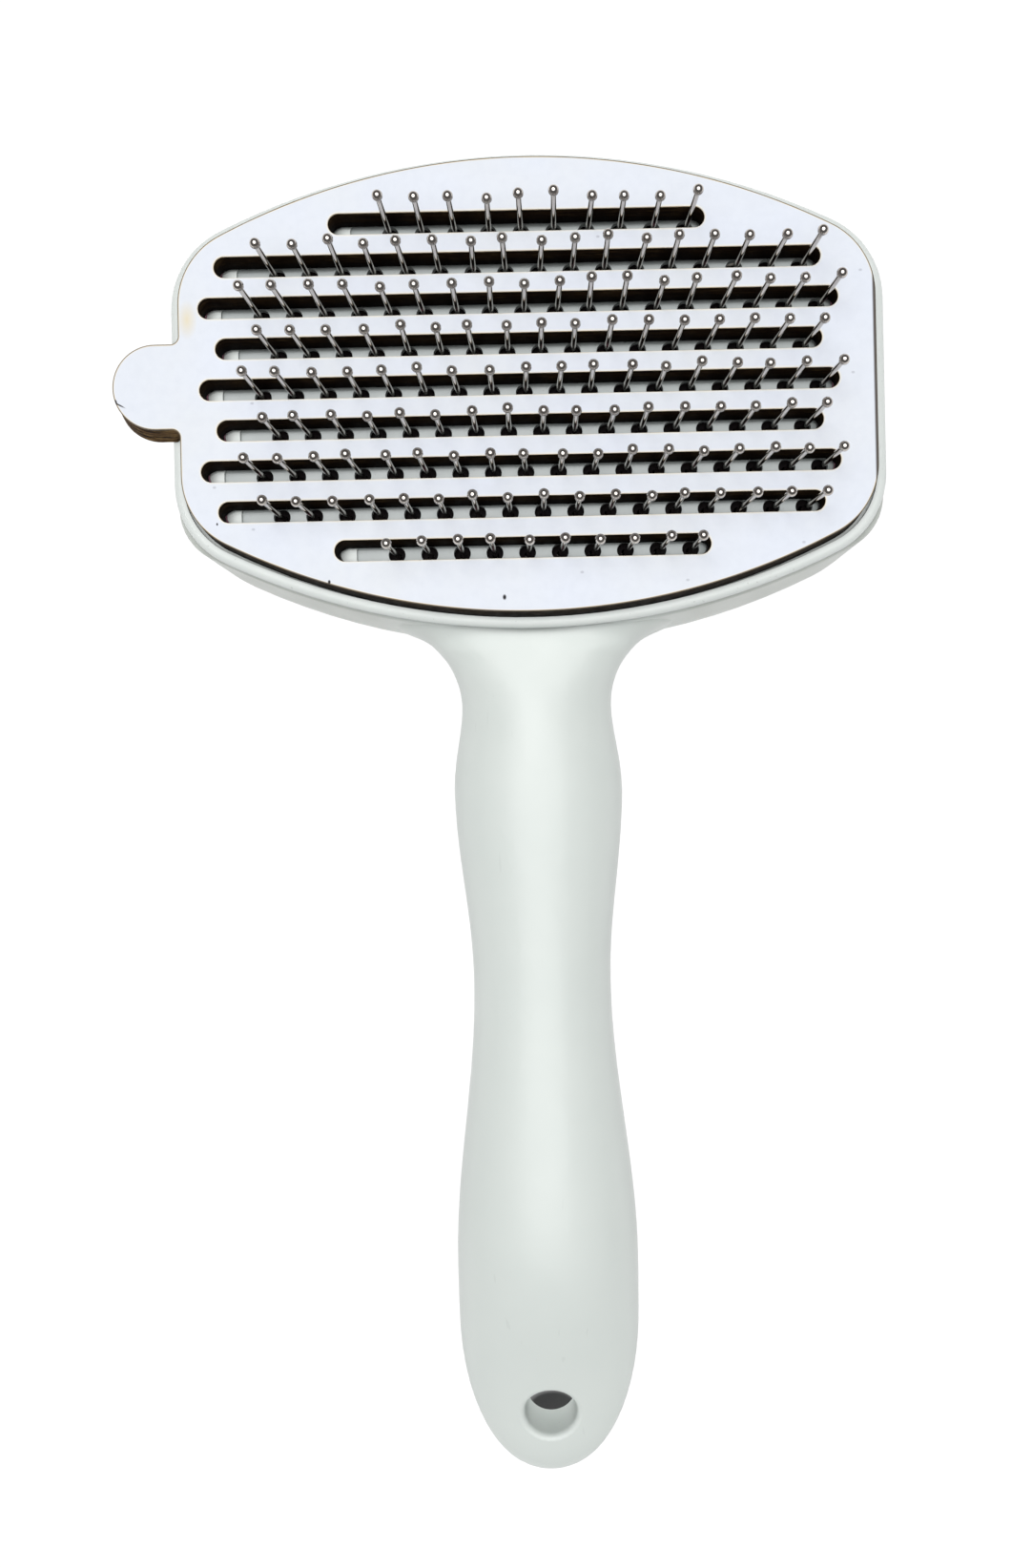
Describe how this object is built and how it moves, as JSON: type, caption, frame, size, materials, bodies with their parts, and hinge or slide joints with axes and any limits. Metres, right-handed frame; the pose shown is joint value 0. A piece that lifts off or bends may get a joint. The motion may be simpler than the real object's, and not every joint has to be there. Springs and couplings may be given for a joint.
{
  "type": "slicker brush",
  "caption": "Self-cleaning slicker brush: wide head of ball-tipped pins, sprung stripper plate pushed by a rear thumb button, and a slotted lift-off cleaning board.",
  "frame": {"origin": "centre of the hanging hole, on the plane where the front and rear shells meet", "axes": "+Y from the hanging hole up the handle to the head, +Z the way the pins point, +X to the right seen from the pin side"},
  "size_m": [0.1172, 0.2089, 0.0382],
  "materials": {
    "white_shell": "satin off-white injection moulding",
    "white_plate": "satin off-white injection moulding",
    "button": "fine matt moulding, a shade greyer than the shell",
    "inner_plastic": "plain moulded",
    "pin_board_plastic": "dark wine-red moulding",
    "retainer_rubber": "matt",
    "bush_plastic": "plain acetal",
    "screw_steel": "zinc plated",
    "spring_steel": "bright drawn wire",
    "pin_steel": "polished wire with ball tips",
    "board_core": "pressed wood fibre with laser-burnt edges",
    "board_facing": "smooth satin white facing",
    "board_backing": "thin rose sheet"
  },
  "bodies": {
    "housing": {"front_housing": "white_shell", "rear_housing": "white_shell", "housing_screws": "screw_steel", "pin_board": "pin_board_plastic", "pin_retainer": "retainer_rubber", "pin_board_screws": "screw_steel", "guide_bushes": "bush_plastic", "return_springs": "spring_steel", "pin_row_1": "pin_steel", "pin_row_2": "pin_steel", "pin_row_3": "pin_steel", "pin_row_4": "pin_steel", "pin_row_5": "pin_steel", "pin_row_6": "pin_steel", "pin_row_7": "pin_steel", "pin_row_8": "pin_steel", "pin_row_9": "pin_steel"},
    "ejector": {"face_plate": "white_plate", "ejector_carrier": "inner_plastic", "push_button": "button", "carrier_screws": "screw_steel"},
    "lift_board": {"lift_board_backing": "board_backing", "lift_board_core": "board_core", "lift_board_facing": "board_facing"}
  },
  "joints": [
    {"name": "button_push", "type": "slide", "parent": "housing", "child": "ejector", "axis": [0, 0, 1], "range_m": [0, 0.0095], "stiffness_N_per_m": 500, "springref_m": -0.006, "deforming": ["return_springs"]},
    {"name": "board_lift", "type": "slide", "parent": "ejector", "child": "lift_board", "axis": [0, 0, 1], "range_m": [0, 0.02]}
  ]
}
